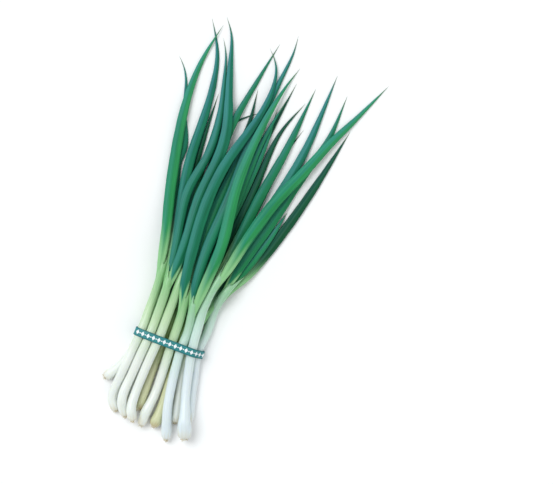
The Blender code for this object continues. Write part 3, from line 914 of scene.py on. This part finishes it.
def strip_tree():
    """A flat strip with round edges along a closed loop: its outer face lies in the loop."""
    s = Shape(
        "Band strip",
        {"Width": "Float", "Thickness": "Float", "Edge Radius": "Float", "Waviness": "Float"},
    )
    line = s.add("GeometryNodeMeshToCurve")
    s.feed(line.inputs["Mesh"], s.given["Geometry"])
    tangent = s.add("GeometryNodeInputTangent").outputs[0]
    place = s.add("GeometryNodeInputPosition").outputs[0]
    curve = s.keep(line.outputs[0], [("tangent", "VECTOR", tangent), ("place", "VECTOR", place)])
    section = s.add("GeometryNodeCurvePrimitiveQuadrilateral")
    s.feed(section.inputs["Width"], s.given["Width"])
    s.feed(section.inputs["Height"], s.given["Thickness"])
    rounded = s.add("GeometryNodeFilletCurve", mode="POLY")
    s.feed(rounded.inputs["Curve"], section.outputs[0])
    s.feed(rounded.inputs["Count"], 4)
    s.feed(rounded.inputs["Radius"], s.given["Edge Radius"])
    fine = s.add("GeometryNodeSubdivideCurve")
    s.feed(fine.inputs["Curve"], rounded.outputs[0])
    s.feed(fine.inputs["Cuts"], 2)
    profile = s.keep(fine.outputs[0], [("cut", "VECTOR", place)])
    swept = s.add("GeometryNodeCurveToMesh")
    s.feed(swept.inputs["Curve"], curve["Geometry"])
    s.feed(swept.inputs["Profile Curve"], profile["Geometry"])
    cut = s.add("ShaderNodeSeparateXYZ")
    s.feed(cut.inputs[0], profile["cut"])
    noise = s.add("ShaderNodeTexNoise")
    s.feed(noise.inputs["Vector"], curve["place"])
    s.feed(noise.inputs["Scale"], BAND_WAVES)
    wave = s.swing(noise.outputs[0], s.given["Waviness"])
    out = s.math("SUBTRACT", cut.outputs["Y"], s.math("MULTIPLY", s.given["Thickness"], 0.5))
    sideways = s.combine(0.0, s.math("ADD", cut.outputs["X"], wave), 0.0)
    moved = s.add("GeometryNodeSetPosition")
    s.feed(moved.inputs["Geometry"], swept.outputs[0])
    offset = s.vector("ADD", sideways, s.scaled(outward_of(s, curve["tangent"]), out))
    s.feed(moved.inputs["Position"], s.vector("ADD", curve["place"], offset))
    half_width = s.math("MULTIPLY", s.given["Width"], 0.5)
    edge = s.math("DIVIDE", s.math("ABSOLUTE", cut.outputs["X"]), half_width)
    s.end(s.store(moved.outputs[0], "edge", edge))
    return s.tree


def print_tree():
    """Diamonds and dots in turn along the loop, bent to it and standing a hair proud."""
    s = Shape(
        "Band print",
        {"Spacing": "Float", "Count": "Int", "Start": "Float", "Height": "Float", "Proud": "Float"},
    )
    line = s.add("GeometryNodeMeshToCurve")
    s.feed(line.inputs["Mesh"], s.given["Geometry"])
    row = s.add("GeometryNodeMeshLine", mode="OFFSET")
    s.feed(row.inputs["Count"], s.given["Count"])
    s.feed(row.inputs["Start Location"], s.combine(s.given["Start"], 0.0, 0.0))
    s.feed(row.inputs["Offset"], s.combine(s.given["Spacing"], 0.0, 0.0))
    odd = s.math("MODULO", s.add("GeometryNodeInputIndex").outputs[0], 2.0)
    shapes = []
    for corners, wide, tall, cuts in (DIAMOND, DOT):
        disc = s.add("GeometryNodeMeshCircle", fill_type="TRIANGLE_FAN")
        s.feed(disc.inputs["Vertices"], corners)
        s.feed(disc.inputs["Radius"], s.given["Height"])
        sized = s.add("GeometryNodeTransform")
        s.feed(sized.inputs["Geometry"], disc.outputs[0])
        s.feed(sized.inputs["Scale"], (wide, tall, 1.0))
        cut = s.add("GeometryNodeSubdivideMesh")
        s.feed(cut.inputs["Mesh"], sized.outputs[0])
        s.feed(cut.inputs["Level"], cuts)
        shapes.append(cut.outputs[0])
    choice = s.add("GeometryNodeGeometryToInstance")
    for shape in shapes[::-1]:
        s.feed(choice.inputs[0], shape)
    placed = s.add("GeometryNodeInstanceOnPoints")
    s.feed(placed.inputs["Points"], row.outputs[0])
    s.feed(placed.inputs["Instance"], choice.outputs[0])
    s.feed(placed.inputs["Pick Instance"], True)
    s.feed(placed.inputs["Instance Index"], odd)
    real = s.add("GeometryNodeRealizeInstances")
    s.feed(real.inputs[0], placed.outputs[0])
    thick = s.add("GeometryNodeExtrudeMesh", mode="FACES")
    s.feed(thick.inputs["Mesh"], real.outputs[0])
    s.feed(thick.inputs["Offset Scale"], s.math("MULTIPLY", s.given["Proud"], 2.0))
    s.feed(thick.inputs["Individual"], False)
    under = s.add("GeometryNodeFlipFaces")
    s.feed(under.inputs[0], real.outputs[0])
    both = s.add("GeometryNodeJoinGeometry")
    s.feed(both.inputs[0], under.outputs[0])
    s.feed(both.inputs[0], thick.outputs["Mesh"])
    # The undersides and the extruded tops are joined into closed pieces
    closed = s.add("GeometryNodeMergeByDistance")
    s.feed(closed.inputs["Geometry"], both.outputs[0])
    s.feed(closed.inputs["Distance"], 0.001 * MM)
    laid = s.add("ShaderNodeSeparateXYZ")
    s.feed(laid.inputs[0], s.add("GeometryNodeInputPosition").outputs[0])
    spot = s.add("GeometryNodeSampleCurve", mode="LENGTH")
    s.feed(spot.inputs["Curves"], line.outputs[0])
    s.feed(spot.inputs["Length"], laid.outputs["X"])
    out = s.math("SUBTRACT", laid.outputs["Z"], s.given["Proud"])
    offset = s.scaled(outward_of(s, spot.outputs["Tangent"]), out)
    offset = s.vector("ADD", offset, s.combine(0.0, laid.outputs["Y"], 0.0))
    moved = s.add("GeometryNodeSetPosition")
    s.feed(moved.inputs["Geometry"], closed.outputs[0])
    s.feed(moved.inputs["Position"], s.vector("ADD", spot.outputs["Position"], offset))
    s.end(moved.outputs[0])
    return s.tree


def stretch_band():
    loop, middle, width = band_loop()
    line = loop_mesh("band_strip", loop, middle)
    strip = made("band_strip", line, strip_tree(), rubber_finish(), {**BAND_SHAPE, "Width": width})
    belongs(strip, "rubber_band")
    line = loop_mesh("band_print", loop, middle)
    ornament = made("band_print", line, print_tree(), print_finish(), ORNAMENT)
    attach(ornament, BODY)


# ---------------------------------------------------------------- floor, light and camera


FLOOR_REACH = 12.0  # from the middle to each side
FLOOR_BELOW = 0.3 * MM
ROOM_COLOUR = 0.93, 0.97, 1.0
ROOM_ABOVE, ROOM_LOW = 0.5, 1.0  # how bright the room is overhead and near the floor's edge
LOW_UNTIL, ABOVE_FROM = 0.12, 0.45  # heights of a direction, as its share along Z
LENS, SENSOR_WIDTH = 86.8, 36.0  # millimetres
CAMERA_AT = 0.0583, 0.1193, 1.21
CAMERA_TURN = math.atan2(0.358, 0.934)  # the bunch points up and to the right


def light(name, towards, softness, power, colour):
    """A far, soft lamp: it lights the whole floor evenly."""
    lamp = bpy.data.lights.new(name, "SUN")
    lamp.angle, lamp.energy, lamp.color = math.radians(softness), power, colour
    thing = bpy.data.objects.new(name, lamp)
    thing.rotation_euler = Vector(towards).to_track_quat("-Z", "Y").to_euler()
    bpy.context.scene.collection.objects.link(thing)


def set_stage():
    floor_mesh = bpy.data.meshes.new("floor")
    corners = [(-1, -1), (1, -1), (1, 1), (-1, 1)]
    corners = [(x * FLOOR_REACH, y * FLOOR_REACH, -FLOOR_BELOW) for x, y in corners]
    floor_mesh.from_pydata(corners, [], [(0, 1, 2, 3)])
    floor = bpy.data.objects.new("floor", floor_mesh)
    bpy.context.scene.collection.objects.link(floor)
    pale = bpy.data.materials.new("floor_pale")
    pale.use_nodes = True
    shader = pale.node_tree.nodes["Principled BSDF"]
    shader.inputs["Base Color"].default_value = (0.97, 0.97, 0.97, 1)
    shader.inputs["Roughness"].default_value = 0.9
    floor_mesh.materials.append(pale)

    world = bpy.data.worlds.new("soft_room")
    world.use_nodes = True
    sky = world.node_tree.nodes["Background"]
    sky.inputs["Color"].default_value = (*ROOM_COLOUR, 1)
    room = Tree(world.node_tree)
    way = room.add("ShaderNodeSeparateXYZ")
    room.feed(way.inputs[0], room.add("ShaderNodeTexCoord").outputs["Generated"])
    strength = room.ramp(way.outputs["Z"], LOW_UNTIL, ABOVE_FROM, ROOM_LOW, ROOM_ABOVE)
    room.feed(sky.inputs["Strength"], strength)
    bpy.context.scene.world = world

    light("key", (0.62, -0.28, -1.0), 38.0, 1.75, (0.97, 0.99, 1.0))
    light("fill", (-0.8, 0.1, -1.0), 60.0, 0.45, (1.0, 1.0, 0.94))

    view = bpy.context.scene.view_settings
    view.view_transform, view.look = "Standard", "None"
    view.exposure = 0.0

    lens = bpy.data.cameras.new("camera")
    lens.sensor_width, lens.lens = SENSOR_WIDTH, LENS
    camera = bpy.data.objects.new("camera", lens)
    camera.location = CAMERA_AT
    camera.rotation_euler = (0, 0, CAMERA_TURN)
    bpy.context.scene.collection.objects.link(camera)
    bpy.context.scene.camera = camera


grow_plants()
stretch_band()
set_stage()
